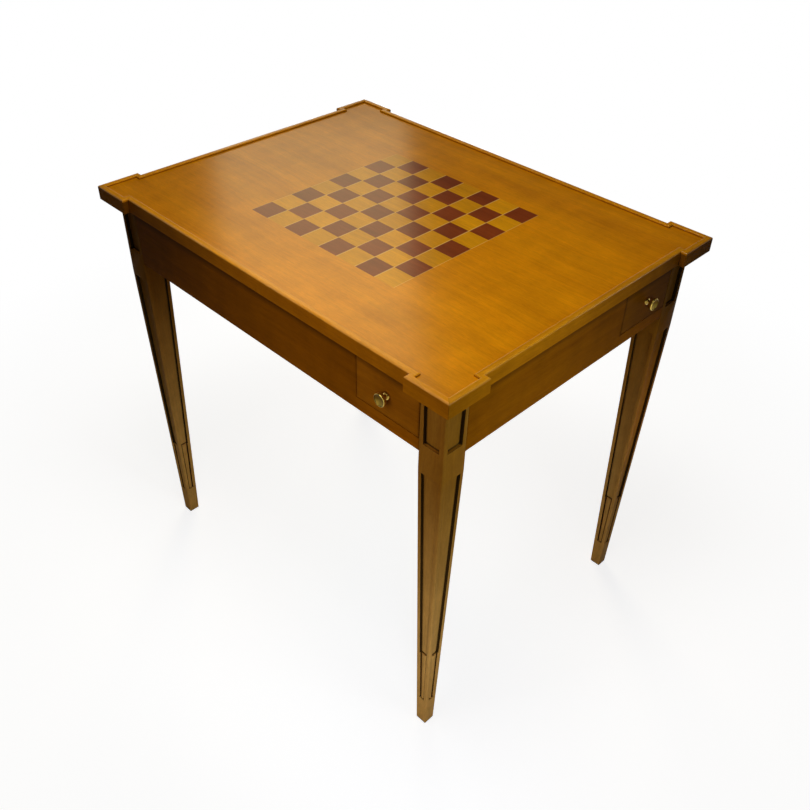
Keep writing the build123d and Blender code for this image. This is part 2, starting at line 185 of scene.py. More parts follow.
class StageSettings(bpy.types.PropertyGroup):
    """Camera, lamps and floor."""
    camera_place: FloatVectorProperty(
        name="Camera place", description="Where the camera stands", subtype="TRANSLATION",
        unit="LENGTH", size=3, default=(0.91933, -0.91706, 1.3968))
    camera_turn: FloatVectorProperty(
        name="Camera turn", description="How the camera is turned", subtype="EULER",
        unit="ROTATION", size=3,
        default=(radians(51.0767), radians(-1.31077), radians(45.05757)))
    lens: FloatProperty(name="Lens", description="Focal length", unit="CAMERA", default=39.51)
    overhead_power: watts("Overhead lamp", "Power of the softbox overhead", 9.9)
    front_power: watts("Front lamp", "Power of the lamp in front", 0.23)
    high_power: watts("High lamp", "Power of the high lamp in front", 0.14)
    side_power: watts("Side lamp", "Power of the lamp at the side", 0.355)
    side_tint: colour("Side tint", "Colour of the lamp at the side", 228, 255, 255)
    low_power: watts("Low lamp", "Power of the lamp near the floor", 0.42)
    low_tint: colour("Low tint", "Colour of the lamp near the floor", 220, 232, 255)
    right_power: watts("Right lamp", "Power of the lamp on the right-hand leg", 0.04)
    right_tint: colour("Right tint", "Colour of the lamp on the right-hand leg", 255, 215, 130)
    drawer_power: watts("Drawer lamp", "Power of the lamp on the right-hand drawer", 0.018)
    back_power: watts("Back lamp", "Power of the lamp behind the table", 3.0)
    window_power: watts("Window", "Power of the window's light", 13.2)
    window_tint: colour("Window tint", "Colour of the window's light", 255, 233, 184)
    room_light: factor("Room light", "Even light from all round", 0.0)
    backdrop_share: factor("Backdrop", "How far white replaces the floor's shadows", 0.81)


def node_middle(name):
    """The middle of a CAD piece."""
    low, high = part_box(name)
    return (low + high) / 2


# Materials

def feed(material, node, sockets):
    """Gives each socket a value or the output that feeds it."""
    for key, value in sockets.items():
        if isinstance(value, bpy.types.NodeSocket):
            material.node_tree.links.new(value, node.inputs[key])
        else:
            node.inputs[key].default_value = value


def add(material, kind, sockets=None, **settings):
    """Adds a node to a material or a world and feeds its sockets."""
    node = material.node_tree.nodes.new("ShaderNode" + kind)
    for name, value in settings.items():
        setattr(node, name, value)
    feed(material, node, sockets or {})
    return node


def blank_material(name):
    """A material with its Principled shader ready."""
    material = bpy.data.materials.new(name)
    material.use_nodes = True
    return material, material.node_tree.nodes["Principled BSDF"]


def number_math(material, operation, *values, **settings):
    """Does arithmetic with one or two numbers."""
    return add(material, "Math", dict(enumerate(values)), operation=operation,
               **settings).outputs[0]


def vector_math(material, operation, *values):
    """Does arithmetic with one or two vectors."""
    return add(material, "VectorMath", dict(enumerate(values)), operation=operation).outputs[0]


def scaled(material, vector, share):
    """A place drawn out, or a colour made brighter or darker, by a share."""
    return add(material, "VectorMath", {0: vector, "Scale": share},
               operation="SCALE").outputs[0]


def split(material, vector):
    """The X, Y and Z of a vector."""
    return add(material, "SeparateXYZ", {0: vector}).outputs


def object_place(material):
    """Where a point is on the piece."""
    return add(material, "TexCoord").outputs["Object"]


def streaks(material, space, along, across, detail=3, roughness=0.5):
    """Noise drawn out along the grain, as a value around a half."""
    stretched = add(material, "Mapping", {"Vector": space, "Scale": (along, across, across)})
    return add(material, "TexNoise", {"Vector": stretched.outputs[0], "Scale": 1,
                                      "Detail": detail, "Roughness": roughness}).outputs["Fac"]


def spread(material, value, low, high, to_low=0.0, to_high=1.0, **settings):
    """A value's working range laid over another range."""
    return add(material, "MapRange", {"Value": value, "From Min": low, "From Max": high,
                                      "To Min": to_low, "To Max": to_high},
               **settings).outputs[0]


def times(material, *values):
    """Values multiplied together."""
    product = values[0]
    for value in values[1:]:
        product = number_math(material, "MULTIPLY", product, value)
    return product


def blend(material, share, one, other):
    """One colour or output going over to another."""
    sides = {key: side if isinstance(side, bpy.types.NodeSocket) else (*side, 1)
             for key, side in (("A", one), ("B", other))}
    return add(material, "Mix", {"Factor": share, **sides}, data_type="RGBA").outputs["Result"]


def nook(material, reach, low, high):
    """How deep a point lies in a corner, from nothing to all, felt as far as reach."""
    open_share = add(material, "AmbientOcclusion", {"Distance": reach}, samples=8).outputs["AO"]
    return spread(material, open_share, high, low)


GRAIN_TURNS = {"x": (0, 0, 0), "y": (0, 0, radians(-90)), "z": (0, radians(90), 0)}

# How far the grain wanders off its line, in metres, and the range a noise mostly keeps to
WANDER = 0.02
NOISE = (0.3, 0.7)

# Streaks in the wood: how many to a metre along and across the grain, detail, roughness
BANDS = (2.5, 30, 5, 0.6)
MOTTLE = (34, 14, 2)
CLOUD = (5, 11, 2)
FLAMES = (20, 85, 3, 0.6)
LINES = (7, 240, 3, 0.6)
FLECKS = (120, 520, 2)
FIBRE = (26, 1500, 2)
PORES = (70, 2200, 1)

# How far the finer streaks swing the tone, and how dark the pores are
FINE_TONES = ((FLAMES, 0.06), (LINES, 0.07), (FLECKS, 0.06))
FIBRE_TONE = 0.05
PORE_TONE = 0.8


def swing(material, noise, share):
    """A noise turned into a factor that swings about one."""
    return spread(material, noise, *NOISE, 1 - share, 1 + share)


def grain_colour(material, place, pale, dark, grain, figure=0.07):
    """Cherry's colour: long bands, a soft figure, thin lines and flecks, and the fibre."""
    turned = add(material, "Mapping",
                 {"Vector": place, "Rotation": GRAIN_TURNS[grain]}).outputs[0]
    drift = add(material, "TexNoise", {"Vector": turned, "Scale": 4, "Detail": 1})
    centred = vector_math(material, "SUBTRACT", drift.outputs["Color"], (0.5, 0.5, 0.5))
    space = vector_math(material, "ADD", turned, scaled(material, centred, WANDER))
    tones = [swing(material, streaks(material, space, *layer), share)
             for layer, share in ((MOTTLE, figure), (CLOUD, figure), *FINE_TONES)]
    fibre = streaks(material, space, *FIBRE)
    tones.append(swing(material, fibre, FIBRE_TONE))
    tones.append(spread(material, streaks(material, space, *PORES), 0.66, 0.74, 1, PORE_TONE))
    bands = spread(material, streaks(material, space, *BANDS), 0.22, 0.78)
    return scaled(material, blend(material, bands, dark, pale), times(material, *tones)), fibre


# Roughness of each finish and of the coat, and how far the fibre swings it
SATIN = 0.3
SOFT = 0.4
MATT = 0.6
COAT = 0.18
SWING = 0.03

FIBRE_DEPTH = 0.2 * MILLIMETRE
FIBRE_STRENGTH = 0.25
BODY_SHINE = 0.002


def varnish(material, shader, painted, fibre, gloss, polish):
    """Feeds the colour in, with the fibre's dips, and a coat on the faces that look upwards."""
    dips = add(material, "Bump", {"Strength": FIBRE_STRENGTH, "Distance": FIBRE_DEPTH,
                                  "Height": fibre})
    rough = spread(material, fibre, *NOISE, gloss - SWING, gloss + SWING)
    feed(material, shader, {"Base Color": painted, "Roughness": rough,
                            "Normal": dips.outputs[0], "Specular IOR Level": BODY_SHINE})
    if polish:
        feed(material, shader, {"Coat Weight": times(material, upward(material), polish),
                                "Coat Roughness": COAT})


def upward(material):
    """All on faces that look up, nothing on upright ones."""
    normal = add(material, "NewGeometry").outputs["Normal"]
    return spread(material, split(material, normal)["Z"], 0.1, 0.7)


# Painted shadow under the edging, by how far down from the apron's top it reaches
EAVES_SHADOW_FULL = 11 * MILLIMETRE
EAVES_SHADOW_END = 25 * MILLIMETRE
EAVES_SHADOW_SHARE = 0.7


def shadowed_under_edging(material, place, painted, shade_and_joint):
    """Darkens a colour in a soft band below the edging: a painted shadow."""
    height = split(material, place)["Z"]
    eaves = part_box("apron_front")[1].z
    share = spread(material, height, eaves - EAVES_SHADOW_END, eaves - EAVES_SHADOW_FULL, 0, EAVES_SHADOW_SHARE)
    return blend(material, share, painted, shade_and_joint)


# Painted shade in and beside the joint round a drawer's front, and the tone of the strip under
# it
JOINT = 0.5 * MILLIMETRE
JOINT_SHADE_END = 4 * MILLIMETRE
JOINT_SHADE_SHARE = 0.45
JOINT_SHADE_REACH = 0.9
JOINT_SHADE_NEAR_LEG = 0.3
STRIP_EDGE = 2 * MILLIMETRE
STRIP_FADE = 20 * MILLIMETRE
STRIP_TONE = 1.35


def shaded_joint(material, place, painted, shade_and_joint, drawer):
    """Darkens a drawer's joint and the wood beside it with painted shade, most away from the
    leg, and lightens the strip under it.
    """
    low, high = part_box(drawer)
    middle, half = (low + high) / 2, (high - low) / 2
    axis = "X" if half.x > half.y else "Y"
    far_end = max(half.x, half.y) * (-1 if middle.x + middle.y > 0 else 1)
    moved = vector_math(material, "SUBTRACT", place, middle)
    spot = split(material, moved)
    folded = vector_math(material, "ABSOLUTE", moved)
    beyond = split(material, vector_math(material, "SUBTRACT", folded, half))
    outside = number_math(material, "MAXIMUM", beyond[axis], beyond["Z"])
    # Painted shade in and beside the joint round the drawer's front.
    joint_shade = times(material,
                 spread(material, number_math(material, "ABSOLUTE", outside), JOINT, JOINT_SHADE_END,
                        JOINT_SHADE_SHARE, 0),
                 spread(material, spot[axis], far_end, far_end * JOINT_SHADE_REACH, 1, JOINT_SHADE_NEAR_LEG))
    under = times(material,
                  spread(material, beyond[axis], -STRIP_FADE, STRIP_FADE, 1, 0),
                  spread(material, spot["Z"], -half.z - STRIP_EDGE, -half.z, 1, 0))
    lit = scaled(material, painted, spread(material, under, 0, 1, 1, STRIP_TONE))
    return blend(material, joint_shade, lit, shade_and_joint)


def wood(name, pale, dark, grain="x", gloss=SATIN, polish=0.0, shade_and_joint=None, drawer=None):
    """Wood whose grain runs along one axis, perhaps with a painted shadow under the edging and
    painted shade round a drawer's joint.
    """
    material, shader = blank_material(name)
    place = object_place(material)
    painted, fibre = grain_colour(material, place, pale, dark, grain)
    if shade_and_joint:
        # A painted shadow under the edging, then painted shade round the drawer's joint.
        painted = shadowed_under_edging(material, place, painted, shade_and_joint)
        painted = shaded_joint(material, place, painted, shade_and_joint, drawer)
    varnish(material, shader, painted, fibre, gloss, polish)
    return material


# The edging's painted highlight along the outer edge, the painted shade on the rim at the
# right-hand end, the mitres and the painted shade in the corners
HIGHLIGHT_FULL = 1.2 * MILLIMETRE
HIGHLIGHT_END = 3.5 * MILLIMETRE
HIGHLIGHT_SHARE = 0.3
RIGHT_END_HIGHLIGHT = 0.2
RIGHT_END_SHADE_TONE = 0.72
MITRE_FULL = 0.3 * MILLIMETRE
MITRE_END = 0.8 * MILLIMETRE
MITRE_SHARE = 0.4
CORNER_REACH = 4 * MILLIMETRE
CORNER_SHADE_SHARE = 0.6
END_GRAIN_SHARE = 0.7


def end_grain(material, place, height):
    """The end faces of the stepped corners, which look to the table's middle."""
    normal = add(material, "NewGeometry").outputs["Normal"]
    inward = split(material, vector_math(material, "MULTIPLY", normal, place))
    facing = number_math(material, "MINIMUM", inward["X"], inward["Y"])
    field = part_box("top_panel")[1].z
    return times(material, spread(material, facing, -0.2, -0.12, END_GRAIN_SHARE, 0),
                 spread(material, height, field - MILLIMETRE, field, 1, 0))


def edging_wood(name, finish, outer_x, outer_y):
    """The edging's wood between two outer faces, with painted shade in the corners and a
    painted highlight along the arris.

    The grain follows the nearer face, and the boards meet in a mitre where both are as near.
    """
    material, shader = blank_material(name)
    place = object_place(material)
    across, _, height = split(material, place)
    inset = vector_math(material, "SUBTRACT", (outer_x, outer_y, 0),
                        vector_math(material, "ABSOLUTE", place))
    to_side, to_end, _ = split(material, inset)
    lead = number_math(material, "SUBTRACT", to_side, to_end)
    turned = number_math(material, "LESS_THAN", lead, 0)
    # Painted shade: the rim is painted darker towards the right-hand (+X) end, and its painted
    # highlight is weaker there.
    right_end_shade = times(material, turned, spread(material, across, 0, outer_x))
    crossed = add(material, "Mapping", {"Vector": place, "Rotation": GRAIN_TURNS["y"]})
    run = add(material, "Mix", {"Factor": turned, 4: place, 5: crossed.outputs[0]},
              data_type="VECTOR").outputs[1]
    side, fibre = grain_colour(material, run, finish.edging_pale, finish.edging_dark, "x")
    # The rim's wood, painted paler than the field as a painted sheen.
    rim = grain_colour(material, run, finish.rim_sheen_pale, finish.rim_sheen_dark, "x")[0]
    rim = scaled(material, rim, spread(material, right_end_shade, 0, 1, 1, RIGHT_END_SHADE_TONE))
    painted = blend(material, upward(material), side, rim)
    mitre = spread(material, number_math(material, "ABSOLUTE", lead), MITRE_FULL, MITRE_END,
                   MITRE_SHARE, 0)
    # Painted shade in the corner where the rim meets the field.
    corner = times(material, nook(material, CORNER_REACH, 0.45, 0.8), CORNER_SHADE_SHARE)
    for darkened in (end_grain(material, place, height), mitre, corner):
        painted = blend(material, darkened, painted, finish.dark_grain_and_shade)
    border = number_math(material, "MINIMUM", to_side, to_end)
    # A painted highlight along the outer arris of the rim's top, broken into patches by a
    # noise.
    highlight_breaks = add(material, "TexNoise", {"Vector": place, "Scale": 14, "Detail": 3})
    arris_highlight = times(material, spread(material, border, HIGHLIGHT_FULL, HIGHLIGHT_END, HIGHLIGHT_SHARE, 0),
                 upward(material), spread(material, highlight_breaks.outputs["Fac"], 0.35, 0.65, 0.2, 1),
                 spread(material, right_end_shade, 0, 1, 1, RIGHT_END_HIGHLIGHT))
    painted = blend(material, arris_highlight, painted, finish.arris_highlight)
    varnish(material, shader, painted, fibre, SATIN, finish.polish)
    return material


# The seam between the rows, from the middle of a square, in squares
SEAM_START = 0.472
SEAM_FULL = 0.482
SEAM_SHARE = 0.5


def square_wood(name, pale, dark, seam, pitch, polish):
    """A board's squares: each with its own tone, and a pale seam between the rows."""
    material, shader = blank_material(name)
    place = object_place(material)
    painted, fibre = grain_colour(material, place, pale, dark, "x", 0.03)
    cells = scaled(material, place, 1 / pitch)
    flat = vector_math(material, "MULTIPLY", vector_math(material, "FLOOR", cells), (1, 1, 0))
    chance = add(material, "TexWhiteNoise", {"Vector": flat}).outputs["Value"]
    toned = scaled(material, painted, spread(material, chance, 0, 1, 0.9, 1.1))
    along = split(material, vector_math(material, "FRACTION", cells))["X"]
    border = number_math(material, "ABSOLUTE", number_math(material, "SUBTRACT", along, 0.5))
    line = spread(material, border, SEAM_START, SEAM_FULL, 0, SEAM_SHARE)
    varnish(material, shader, blend(material, line, toned, seam), fibre, SOFT, polish)
    return material


def leg_wood(name, sizes):
    """The legs' wood, painted paler towards the foot as painted light, with painted shade under
    the edging and in the corners of the carving.
    """
    material, shader = blank_material(name)
    place = object_place(material)
    height = split(material, place)["Z"]
    # Painted light: the legs are painted paler from where the taper starts down to the top of
    # the beads, and fully pale below.
    low = spread(material, height, sizes.cable_top, sizes.taper_start, 1, 0)
    pale = blend(material, low, sizes.pale, sizes.lit_foot_pale)
    dark = blend(material, low, sizes.dark, sizes.lit_foot_dark)
    painted, fibre = grain_colour(material, place, pale, dark, "z", 0.05)
    # A painted shadow under the edging.
    painted = shadowed_under_edging(material, place, painted, sizes.dark_walls_and_shade)
    # Painted shade in the corners of the carving.
    painted = blend(material, nook(material, CORNER_REACH, 0.5, 0.85), painted, sizes.dark_walls_and_shade)
    varnish(material, shader, painted, fibre, SATIN, 0)
    return material


BRASS_ROUGHNESS = 0.26
DULL_ROUGHNESS = 0.4
STEEL_ROUGHNESS = 0.3
TARNISH_ROUGHNESS = 0.1

# The painted shade in a knob's hollow, measured down from the middle of the knob
SHADE_START = 9 * MILLIMETRE
SHADE_FULL = 1 * MILLIMETRE


def metal(name, bright, dull, roughness, shade=None):
    """Turned metal with a little tarnish in patches, with painted shade towards the top given a
    shade.
    """
    material, shader = blank_material(name)
    place = object_place(material)
    patches = add(material, "TexNoise",
                  {"Vector": place, "Scale": 90, "Detail": 3}).outputs["Fac"]
    painted = blend(material, spread(material, patches, 0.45, 0.75), bright, dull)
    painted = blend(material, nook(material, CORNER_REACH, 0.4, 0.8), painted, dull)
    if shade:
        middle = node_middle("front_drawer_knob").z
        height = split(material, place)["Z"]
        painted = blend(material,
                        spread(material, height, middle - SHADE_START, middle - SHADE_FULL),
                        painted, shade)
    rough = spread(material, patches, *NOISE, roughness, roughness + TARNISH_ROUGHNESS)
    feed(material, shader, {"Base Color": painted, "Roughness": rough, "Metallic": 1})
    return material


def dress(names, material):
    """Gives CAD pieces their finish."""
    for name in names:
        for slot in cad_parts[name].material_slots:
            slot.material = material


# Shaping

def pick(test, kind="FACE"):
    """Selects only the faces, edges or vertices of the mesh in edit mode that pass a test."""
    bpy.ops.mesh.select_mode(type=kind)
    bpy.ops.mesh.select_all(action="DESELECT")
    mesh = bpy.context.object.data
    shape = bmesh.from_edit_mesh(mesh)
    for item in {"FACE": shape.faces, "EDGE": shape.edges, "VERT": shape.verts}[kind]:
        if test(item):
            item.select_set(True)
    shape.select_flush_mode()
    bmesh.update_edit_mesh(mesh)


def cut(place, normal):
    """Cuts the selected faces along a plane."""
    bpy.ops.mesh.bisect(plane_co=place, plane_no=normal)


def push(way):
    """Extrudes the selected faces."""
    bpy.ops.mesh.extrude_region_move(TRANSFORM_OT_translate={"value": way})


def paint(number, walls=False):
    """Gives the selected faces, or those around them, another of the piece's finishes."""
    mesh = bpy.context.object.data
    shape = bmesh.from_edit_mesh(mesh)
    chosen = [face for face in shape.faces if face.select]
    if walls:
        chosen = [wall for face in chosen for edge in face.edges for wall in edge.link_faces
                  if not wall.select]
    for face in chosen:
        face.material_index = number
    bmesh.update_edit_mesh(mesh)


def apply_place():
    """Turns the object's place, turn and size into the mesh's own."""
    bpy.ops.object.transform_apply(location=True, rotation=True, scale=True)


def finish_mesh(smooth_angle):
    """Leaves edit mode with smooth shading up to an angle."""
    bpy.ops.object.mode_set(mode="OBJECT")
    bpy.ops.object.shade_smooth_by_angle(angle=radians(smooth_angle))


def settle(piece, body, slot, *nodes):
    """Puts a finished piece in place of its CAD pieces."""
    apply_place()
    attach(piece, body)
    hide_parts(*nodes)


def turned_copy(piece, name, quarter, start, end):
    """A copy with its own mesh, turned by quarters about the table's middle.

    It goes from one CAD piece's place to another's. With no window the turn is counted
    clockwise.
    """
    bpy.ops.object.select_all(action="DESELECT")
    piece.select_set(True)
    bpy.context.view_layer.objects.active = piece
    bpy.ops.object.duplicate()
    copy = bpy.context.object
    copy.name = name
    bpy.ops.transform.rotate(value=radians(-90 * quarter), orient_axis="Z",
                             center_override=(0, 0, 0))
    turned = Matrix.Rotation(radians(90 * quarter), 3, "Z") @ node_middle(start)
    bpy.ops.transform.translate(value=node_middle(end) - turned)
    apply_place()
    return copy


# Pieces

# An outer face that is too far off, in metres, for a straight strip to meet it
NO_CORNER = 1


class TopOperator(bpy.types.Operator):
    """Finish the field, the inlaid board and the edging"""
    bl_idname = "games_table.top"
    bl_label = "Top"

    def execute(self, context):
        finish = context.scene.games_table_top
        polish = finish.polish
        dress(["top_panel"],
              wood("field", finish.field_pale, finish.field_dark, polish=polish))
        dress(["board_dark_squares"],
              square_wood("dark_squares", finish.dark_square_pale, finish.dark_square_dark,
                          finish.seam, finish.pitch, polish))
        dress(["board_light_squares"],
              square_wood("light_squares", finish.light_square_pale,
                          finish.light_square_dark, finish.seam, finish.pitch, polish))
        dress(["edging_front", "edging_back"],
              edging_wood("edging_long", finish, NO_CORNER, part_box("edging_back")[1].y))
        dress(["edging_left", "edging_right"],
              edging_wood("edging_short", finish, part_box("edging_right")[1].x, NO_CORNER))
        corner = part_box("edging_corner_back_right")[1]
        dress([name.replace("leg_", "edging_corner_") for name in LEGS],
              edging_wood("edging_corner", finish, corner.x, corner.y))
        return {"FINISHED"}


class FrameOperator(bpy.types.Operator):
    """Finish the aprons, the drawers and the inner pieces"""
    bl_idname = "games_table.frame"
    bl_label = "Frame and drawers"

    def execute(self, context):
        finish = context.scene.games_table_frame
        for number, side in enumerate(SIDES):
            grain = "y" if number % 2 else "x"
            front = side + "_drawer_front"
            # Each side's drawer front is a lighter or darker copy of the same wood: painted
            # light and shade for that side.
            tone = getattr(finish, side + "_tone")
            dress(["apron_" + side],
                  wood("apron_" + side, finish.apron_pale, finish.apron_dark, grain,
                       shade_and_joint=finish.shade_and_joint, drawer=front))
            dress([front],
                  wood("drawer_front_" + side, Vector(finish.front_pale) * tone,
                       Vector(finish.front_dark) * tone, grain,
                       shade_and_joint=finish.shade_and_joint, drawer=front))
            plain = wood("inside_" + side, finish.inside_pale, finish.inside_dark, grain, MATT)
            dress([side + "_drawer_back"], plain)
            dress([side + "_drawer_sides", side + "_drawer_bottom", "drawer_runners_" + side],
                  wood("inside_across_" + side, finish.inside_pale, finish.inside_dark,
                       "x" if grain == "y" else "y", MATT))
        dress(["top_buttons", "drawer_stops"], plain)
        return {"FINISHED"}


BEAD_STEPS = 8
BEAD_START = 0.25
LEG_SMOOTH_ANGLE = 35

# How far apart two places may be and still count as one
NEAR = 0.1 * MILLIMETRE

# How nearly a face looks one way, as the cosine of the angle
FACING = 0.5
LEVEL = 0.95

OUTWARD = (Vector((0, -1, 0)), Vector((1, 0, 0)), Vector((0, 1, 0)), Vector((-1, 0, 0)))


class LegOperator(bpy.types.Operator):
    """Carve the legs: a square block with panels, and a taper with cabled flutes"""
    bl_idname = "games_table.legs"
    bl_label = "Legs"

    def section(self, height):
        """Low and high corner of the near leg's square at a height."""
        share = max(0, 1 - height / self.sizes.taper_start)
        inset = self.sizes.foot_inset * share
        width = self.width + (self.sizes.foot_width - self.width) * share
        corner = self.corner + Vector((-inset, inset, 0))
        low = Vector((corner.x - width, corner.y, height))
        high = Vector((corner.x, corner.y + width, height))
        return low, high

    def line(self, axis, share, margin, height):
        """A place across the leg at a share of its width inside two margins."""
        low, high = self.section(height)
        return low[axis] + margin + (high[axis] - low[axis] - 2 * margin) * share

    def cut_along(self, axis, share, margin):
        """Cuts the selected faces along a line that follows the taper."""
        foot = self.line(axis, share, margin, 0)
        top = self.line(axis, share, margin, self.sizes.taper_start)
        place, normal = Vector(), Vector((0, 0, foot - top))
        place[axis], normal[axis] = foot, self.sizes.taper_start
        cut(place, normal)

    def depth(self, number, place):
        """How far a place lies below one of the leg's four faces."""
        low, high = self.section(place.z)
        outer = high if sum(OUTWARD[number]) > 0 else low
        return (outer - place).dot(OUTWARD[number])

    def between(self, number, low, high, margin=0.0, deep=0.0):
        """A test for one side's faces between two heights, inside a margin and a depth."""
        across = number % 2

        def test(face):
            middle = face.calc_center_median()
            return (low < middle.z < high and face.normal.dot(OUTWARD[number]) > FACING
                    and self.depth(number, middle) >= deep - NEAR
                    and self.line(across, 0, margin, middle.z) < middle[across]
                    < self.line(across, 1, margin, middle.z))
        return test

    def recess(self, number, low, high, margin, depth):
        """Sinks a recess into one side and paints its walls dark."""
        for share in (0, 1):
            pick(self.between(number, low, high))
            self.cut_along(number % 2, share, margin)
        pick(self.between(number, low, high, margin))
        push(OUTWARD[number] * -depth)
        paint(1, walls=True)

    def bead(self, number):
        """Fills the lower part of a flute with a rounded bead."""
        sizes = self.sizes
        across = number % 2
        margin = sizes.flute_margin + sizes.cable_quirk
        low, high = sizes.flute_foot, sizes.cable_top
        floor = (low, high, sizes.flute_margin, sizes.flute_depth)
        shares = [(1 - cos(radians(180 * step / BEAD_STEPS))) / 2
                  for step in range(BEAD_STEPS + 1)]
        for share in shares:
            pick(self.between(number, *floor))
            self.cut_along(across, share, margin)
        pick(self.between(number, *floor))
        paint(1)
        pick(self.between(number, low, high, margin, sizes.flute_depth))
        paint(0)
        start = sizes.cable_rise * BEAD_START
        push(OUTWARD[number] * start)
        paint(1, walls=True)
        pick(lambda face: face.material_index == 1 and face.normal.z > LEVEL)
        paint(0)
        crest = sizes.flute_depth - start
        for share in shares[1:-1]:
            def column(vertex, share=share):
                place = vertex.co
                return (low - NEAR < place.z < high + NEAR
                        and abs(self.depth(number, place) - crest) < NEAR
                        and abs(self.line(across, share, margin, place.z)
                                - place[across]) < NEAR)
            pick(column, "VERT")
            rise = sizes.cable_rise * 2 * sqrt(share - share ** 2) - start
            bpy.ops.transform.translate(value=OUTWARD[number] * rise)

        def foot(vertex):
            return (abs(vertex.co.z - low) < NEAR
                    and self.line(across, 0, margin - NEAR, low) < vertex.co[across]
                    < self.line(across, 1, margin - NEAR, low)
                    and self.depth(number, vertex.co) < crest + NEAR)
        pick(foot, "VERT")
        bpy.ops.transform.translate(value=(0, 0, -sizes.cable_quirk * 2))

    def soften(self):
        """Rounds the long arrises and the mouths of the recesses."""
        def arris(edge):
            if len(edge.link_faces) != 2:
                return False
            one, other = edge.link_faces
            steep = edge.verts[0].co - edge.verts[1].co
            return (one.material_index == other.material_index == 0
                    and one.normal.dot(other.normal) < FACING
                    and abs(steep.z) > steep.length / 2)

        def mouth(edge):
            if len(edge.link_faces) != 2:
                return False
            one, other = edge.link_faces
            if one.material_index == other.material_index:
                return False
            step = other.calc_center_median() - one.calc_center_median()
            return step.dot(one.normal) < 0 and one.normal.dot(other.normal) < FACING
        pick(arris, "EDGE")
        bpy.ops.mesh.bevel(offset=self.sizes.arris_round, segments=3)
        pick(mouth, "EDGE")
        bpy.ops.mesh.bevel(offset=self.sizes.mouth_round, segments=2)

    def clean_ledges(self):
        """Keeps the dark wall colour off the ledges and off the walls beside the beads."""
        sizes = self.sizes

        def clean(face):
            middle = face.calc_center_median()
            beside_bead = sizes.flute_foot < middle.z < sizes.cable_top
            return face.material_index == 1 and (face.normal.z > LEVEL or beside_bead)
        pick(clean)
        paint(0)

    def rough_out(self, low, high):
        """A block on a taper that leans in at the foot, left in edit mode."""
        sizes = self.sizes
        block = Vector((low.x, low.y, sizes.taper_start))
        middle = (block + high) / 2
        bpy.ops.object.select_all(action="DESELECT")
        bpy.ops.mesh.primitive_cube_add(size=1, location=middle, scale=high - block)
        leg = bpy.context.object
        leg.name = "carved_" + LEGS[0]
        apply_place()
        leg.data.materials.append(leg_wood("leg", sizes))
        # The recess walls are painted dark; the same colour gives the legs' painted shade.
        leg.data.materials.append(wood("recess_dark_walls", sizes.dark_walls_and_shade, sizes.dark_walls_and_shade, "z", MATT))
        bpy.ops.object.mode_set(mode="EDIT")
        pick(lambda face: face.normal.z < -FACING)
        push((0, 0, -sizes.taper_start))
        share = sizes.foot_width / self.width
        bpy.ops.transform.resize(value=(share, share, 1), center_override=middle)
        shift = sizes.foot_inset - (self.width - sizes.foot_width) / 2
        bpy.ops.transform.translate(value=(-shift, shift, 0))
        return leg

    def execute(self, context):
        self.sizes = sizes = context.scene.games_table_legs
        low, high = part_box(LEGS[0])
        self.corner = Vector((high.x, low.y, 0))
        self.width = high.x - low.x
        leg = self.rough_out(low, high)
        for height in (sizes.flute_foot, sizes.cable_top, sizes.flute_top, sizes.panel_foot,
                       sizes.panel_top):
            bpy.ops.mesh.select_all(action="SELECT")
            cut((0, 0, height), (0, 0, 1))
        for number in range(4):
            self.recess(number, sizes.flute_foot, sizes.flute_top, sizes.flute_margin,
                        sizes.flute_depth)
        for number in range(2):
            self.recess(number, sizes.panel_foot, sizes.panel_top, sizes.panel_margin,
                        sizes.panel_depth)
        self.soften()
        self.clean_ledges()
        for number in range(4):
            self.bead(number)
        finish_mesh(LEG_SMOOTH_ANGLE)
        for number, name in enumerate(LEGS):
            piece = leg
            if number:
                piece = turned_copy(leg, "carved_" + name, number, LEGS[0], name)
            settle(piece, "table", "leg_wood", name)
        return {"FINISHED"}


KNOB_STEPS = 6
KNOB_SIDES = 64
KNOB_SMOOTH_ANGLE = 40

# Rings of a knob, measured in steps of half the way from the base's edge to the neck:
# the moulding's by how far in and up they are, the neck's by a share of its radius and
# how far up, and how far up the head starts
KNOB_MOULDING = ((0.85, 0), (0.35, 0.35), (0.2, 0.7), (0.35, 1.05), (1, 1.4))
KNOB_NECK = ((1.06, 1.5), (0.96, 2.2))
HEAD_START = 4.2


def knob_profile(sizes, depth):
    """Radius and height of each ring a knob is drawn out through, from its base up."""
    base, neck, head = sizes.base_radius, sizes.neck_radius, sizes.head_radius
    step = (base - neck) / 2
    start = sizes.base_thickness
    rings = [(base, start * 0.75), (base * 0.95, start)]
    rings += [(base - step * inward, start + step * up) for inward, up in KNOB_MOULDING]
    rings += [(neck * share, start + step * up) for share, up in KNOB_NECK]
    head_start = start + step * HEAD_START
    rim_back = depth - sizes.rim_thickness
    for number in range(KNOB_STEPS + 1):
        angle = radians(90 * number / KNOB_STEPS)
        rings.append((neck + (head - neck) * sin(angle) ** 0.8,
                      rim_back - (rim_back - head_start) * cos(angle) ** 1.3))
    lip = sizes.rim_thickness / 2
    for number in range(1, KNOB_STEPS + 1):
        angle = radians(180 * number / KNOB_STEPS)
        rings.append((head - lip / 2 + lip / 2 * cos(angle), rim_back + lip + lip * sin(angle)))
    inner = head - lip
    floor = depth - sizes.dish_depth
    for number in range(1, KNOB_STEPS + 1):
        share = 1 - number / (KNOB_STEPS + 0.5)
        rings.append((inner * share, floor + (rings[-number][1] - floor) * share ** 2))
    return rings


